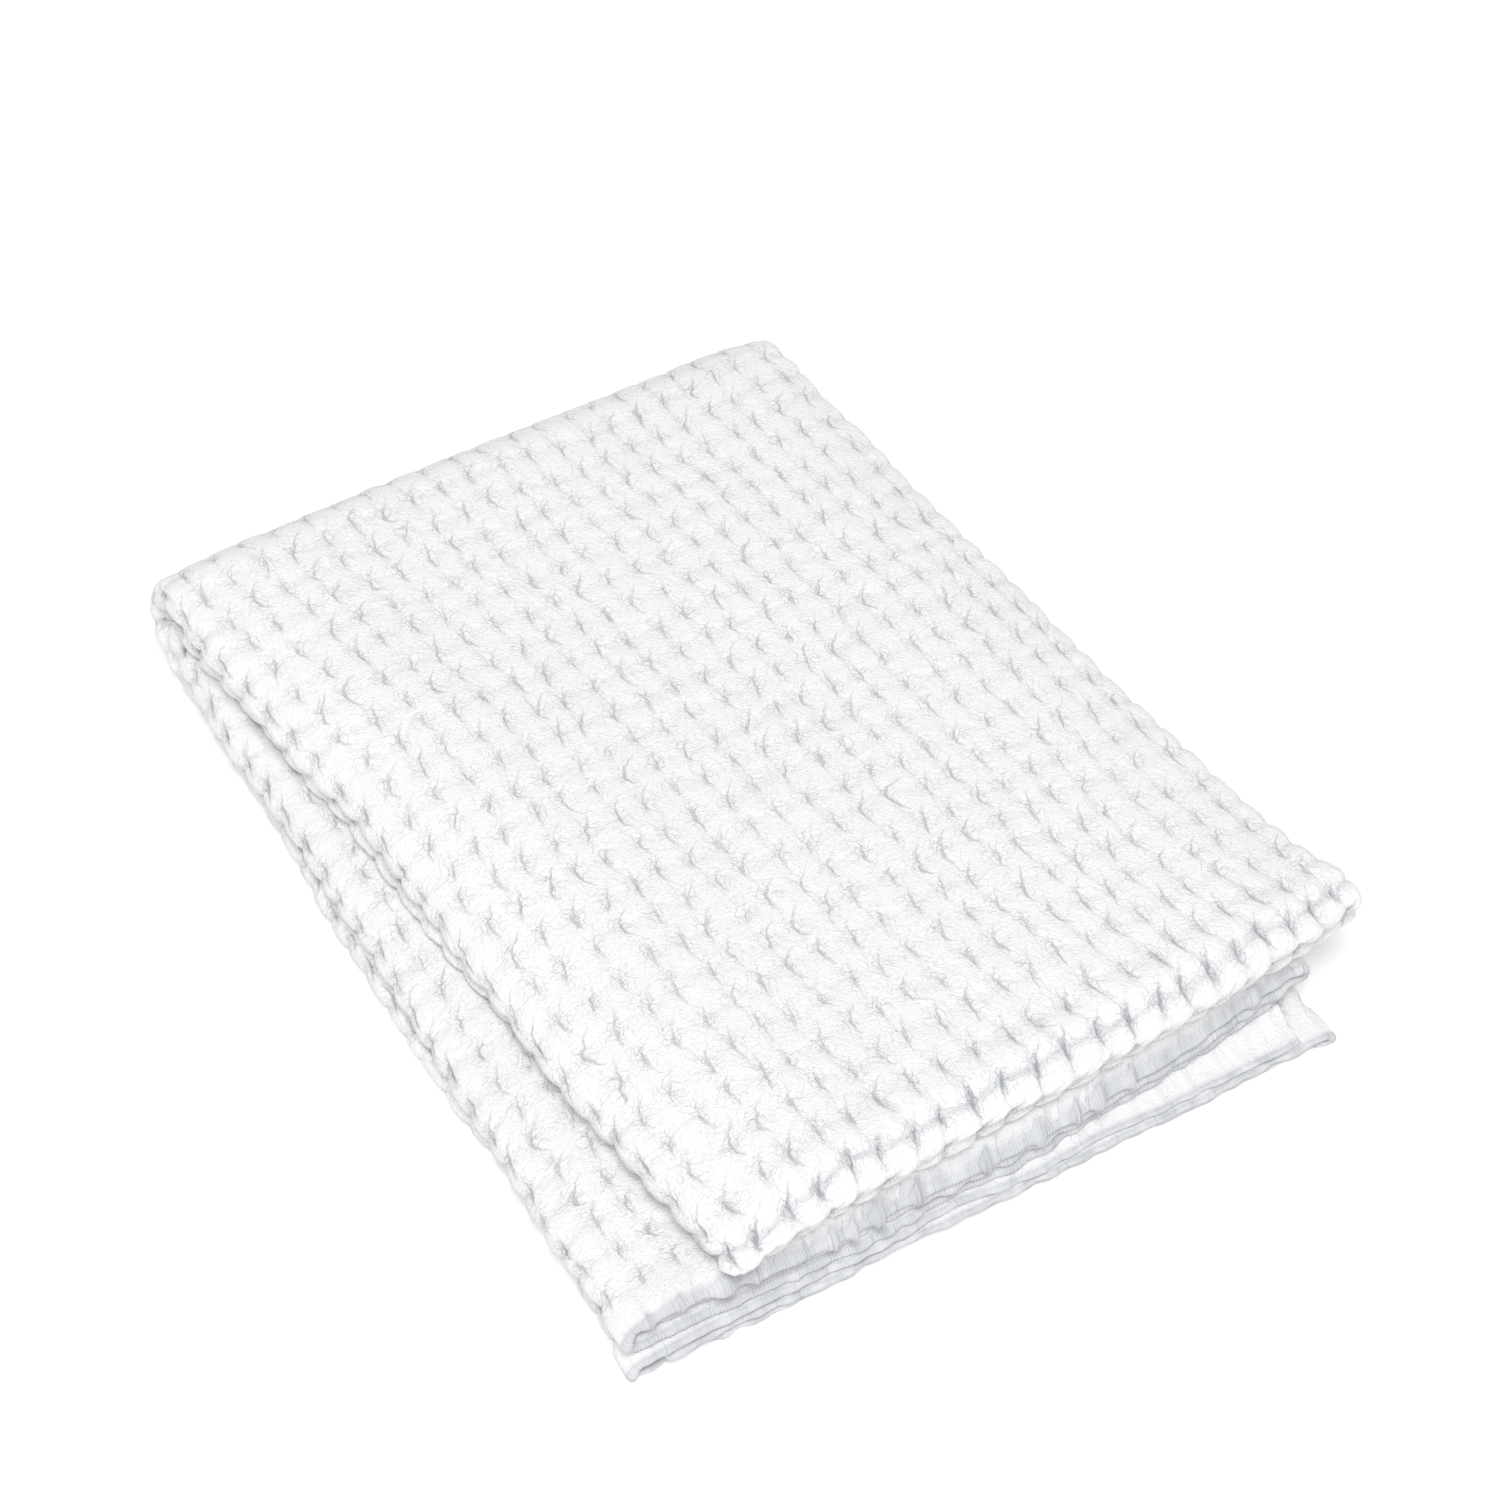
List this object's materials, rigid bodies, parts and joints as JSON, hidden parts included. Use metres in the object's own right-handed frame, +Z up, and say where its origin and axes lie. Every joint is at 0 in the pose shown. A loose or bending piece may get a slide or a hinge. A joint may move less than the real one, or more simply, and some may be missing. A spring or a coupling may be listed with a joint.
{
  "type": "folded bath towel",
  "caption": "Thick white waffle-weave cotton bath towel, folded lengthwise like a letter and then in half twice into a flat stack for a shelf.",
  "frame": {"origin": "middle of the underside, where the folded towel rests", "axes": "+Z up, +Y from the hems at the front to the wrap at the back, +X to the right seen from the front"},
  "size_m": [0.2892, 0.3796, 0.0522],
  "materials": {
    "cotton": "matte white waffle-weave cotton"
  },
  "bodies": {
    "root": {"towel": "cotton"}
  },
  "joints": []
}
